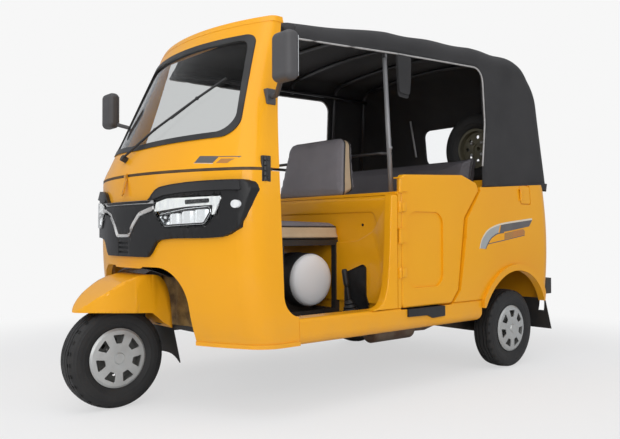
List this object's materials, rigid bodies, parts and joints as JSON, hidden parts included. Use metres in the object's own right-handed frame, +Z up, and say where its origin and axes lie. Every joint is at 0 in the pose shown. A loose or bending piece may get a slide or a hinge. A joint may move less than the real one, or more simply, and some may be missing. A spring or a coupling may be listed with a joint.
{
  "type": "auto rickshaw",
  "caption": "Three-wheeled passenger auto rickshaw with a bowed steel cowl, steered front wheel, fabric hood on tubes, side door and rear engine hatch.",
  "frame": {"origin": "on the ground below the middle of the bounding box, wheels standing at z = 0", "axes": "+Z up, the front points along -Y, the vehicle's left side with the door is +X"},
  "size_m": [1.596, 2.6449, 1.74],
  "materials": {
    "yellow_paint": "gloss paint",
    "black_trim": "gloss",
    "satin_silver": "satin",
    "lamp_clear": "clear",
    "black_rubber": "matt",
    "tinted_glass": "clear",
    "black_metal": "satin paint",
    "cabin_plastic": "matt grain",
    "seat_vinyl": "vinyl",
    "white_enamel": "gloss paint",
    "hood_canvas": "coated canvas",
    "clear_sheet": "clear",
    "grey_tube": "satin paint",
    "tyre_rubber": "matt",
    "olive_rim": "satin paint",
    "wheel_steel": "satin paint",
    "engine_alloy": "cast",
    "rusty_steel": "heat stained",
    "mirror_plastic": "matt",
    "red_lens": "clear red"
  },
  "bodies": {
    "body": {"front_shield": "yellow_paint", "lamp_mask": "black_trim", "mask_strip": "satin_silver", "headlamps": "lamp_clear", "side_lamps": "lamp_clear", "windscreen_frame": "yellow_paint", "windscreen_gasket": "black_rubber", "windscreen_glass": "tinted_glass", "wiper": "black_metal", "dashboard": "cabin_plastic", "floor_pan": "black_metal", "underframe": "black_metal", "steering_head": "black_metal", "sills": "yellow_paint", "side_step": "black_trim", "bulkhead": "yellow_paint", "rear_quarter_left": "yellow_paint", "rear_quarter_right": "yellow_paint", "rear_panel": "yellow_paint", "bench_frame": "black_metal", "driver_cushion": "seat_vinyl", "driver_backrest": "seat_vinyl", "driver_seat_frame": "black_metal", "gas_cylinder": "white_enamel", "bench_cushion": "seat_vinyl", "bench_backrest": "seat_vinyl", "hood": "hood_canvas", "rear_window": "clear_sheet", "hood_frame": "grey_tube", "spare_tyre": "tyre_rubber", "spare_rim": "olive_rim", "trailing_arms": "black_metal", "rear_dampers": "black_metal", "engine_block": "engine_alloy", "silencer": "rusty_steel", "mirrors": "mirror_plastic", "parking_brake": "black_trim", "tail_lamps": "red_lens", "rear_bumper": "black_trim", "rear_mudflaps": "black_rubber"},
    "front_wheel": {"front_tyre": "tyre_rubber", "front_rim": "wheel_steel", "front_wheel_cover": "satin_silver"},
    "rear_left_wheel": {"rear_left_tyre": "tyre_rubber", "rear_left_rim": "wheel_steel", "rear_left_wheel_cover": "satin_silver"},
    "rear_right_wheel": {"rear_right_tyre": "tyre_rubber", "rear_right_rim": "wheel_steel", "rear_right_wheel_cover": "satin_silver"},
    "steering": {"front_fork": "black_metal", "handlebar": "cabin_plastic", "front_mudguard": "yellow_paint", "front_mudflap": "black_rubber"},
    "door": {"passenger_door": "yellow_paint"},
    "fuel_lid": {"fuel_flap": "yellow_paint"},
    "engine_lid": {"engine_hatch": "yellow_paint"}
  },
  "joints": [
    {"name": "steering_turn", "type": "hinge", "parent": "body", "child": "steering", "pos_m": [0, -0.89354, 0.62], "axis": [0, 0.3746, 0.9272], "range_deg": [-40, 40]},
    {"name": "front_wheel_spin", "type": "hinge", "parent": "steering", "child": "front_wheel", "pos_m": [0, -1.1145, 0.208], "axis": [1, 0, 0], "continuous": true},
    {"name": "rear_left_wheel_spin", "type": "hinge", "parent": "body", "child": "rear_left_wheel", "pos_m": [0.568, 0.8705, 0.208], "axis": [1, 0, 0], "continuous": true},
    {"name": "rear_right_wheel_spin", "type": "hinge", "parent": "body", "child": "rear_right_wheel", "pos_m": [-0.568, 0.8705, 0.208], "axis": [1, 0, 0], "continuous": true},
    {"name": "door_swing", "type": "hinge", "parent": "body", "child": "door", "pos_m": [0.64, -0.045, 0.822], "axis": [0, 0, -1], "range_deg": [0, 85]},
    {"name": "fuel_flap_swing", "type": "hinge", "parent": "body", "child": "fuel_lid", "pos_m": [0.6505, 0.925, 0.928], "axis": [0, 0, -1], "range_deg": [0, 90]},
    {"name": "engine_hatch_lift", "type": "hinge", "parent": "body", "child": "engine_lid", "pos_m": [0, 1.279, 0.9325], "axis": [1, 0, 0], "range_deg": [0, 70]}
  ]
}
